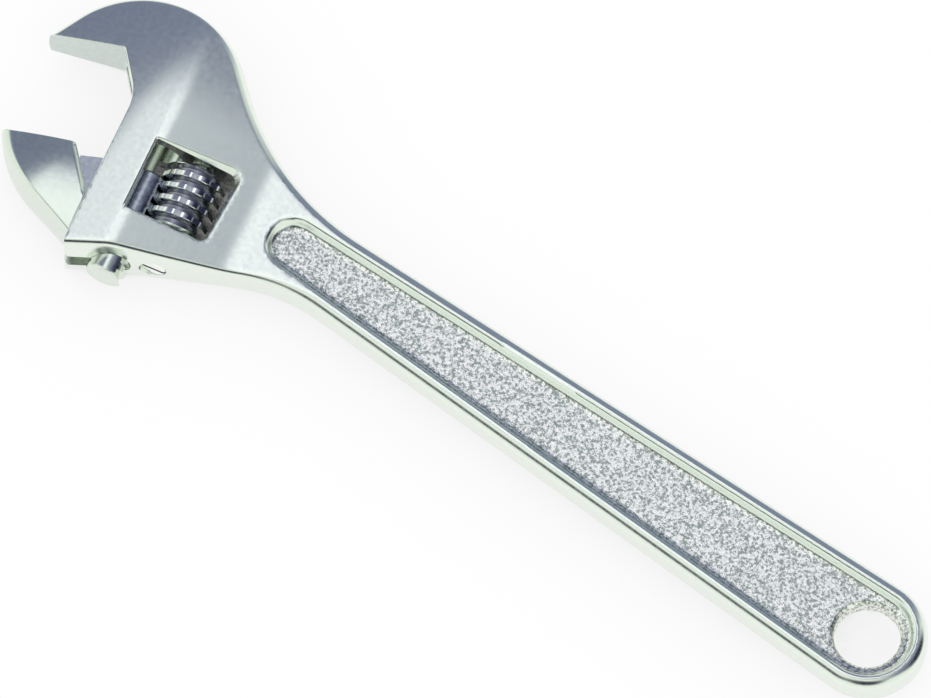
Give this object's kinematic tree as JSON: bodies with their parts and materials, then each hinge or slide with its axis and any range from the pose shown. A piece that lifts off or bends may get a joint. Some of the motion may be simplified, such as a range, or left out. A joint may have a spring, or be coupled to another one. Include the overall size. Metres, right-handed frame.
{
  "type": "adjustable wrench",
  "caption": "Chrome plated adjustable wrench with a recessed handle panel, a hanging hole, a fixed jaw and a sliding jaw moved by a knurled worm.",
  "frame": {"origin": "centre of the hanging hole at mid thickness", "axes": "+X along the handle to the jaws, +Y to the sliding jaw's side, +Z square to the flat faces"},
  "size_m": [0.3047, 0.0795, 0.0198],
  "materials": {
    "forging": "satin chrome over a ground forging, rough as forged in the handle panels",
    "jaw_steel": "satin chrome, ground gripping face",
    "worm_steel": "bright chrome",
    "pin_steel": "zinc plated, satin",
    "spring_steel": "oiled spring wire"
  },
  "bodies": {
    "frame": {"body": "forging", "worm_pin": "pin_steel", "worm_spring": "spring_steel"},
    "jaw": {"sliding_jaw": "jaw_steel"},
    "worm": {"worm": "worm_steel"}
  },
  "joints": [
    {"name": "jaw_slide", "type": "slide", "parent": "frame", "child": "jaw", "axis": [-0.2079, 0.9781, 0], "range_m": [-0.0308, 0.0037]},
    {"name": "worm_turn", "type": "hinge", "parent": "frame", "child": "worm", "pos_m": [0.22865, 0.00619, 0], "axis": [-0.2079, 0.9781, 0], "range_deg": [-340, 2780]}
  ],
  "couplings": [
    {"joint": "worm_turn", "follows": "jaw_slide", "rad_per_m": -1570.8}
  ]
}
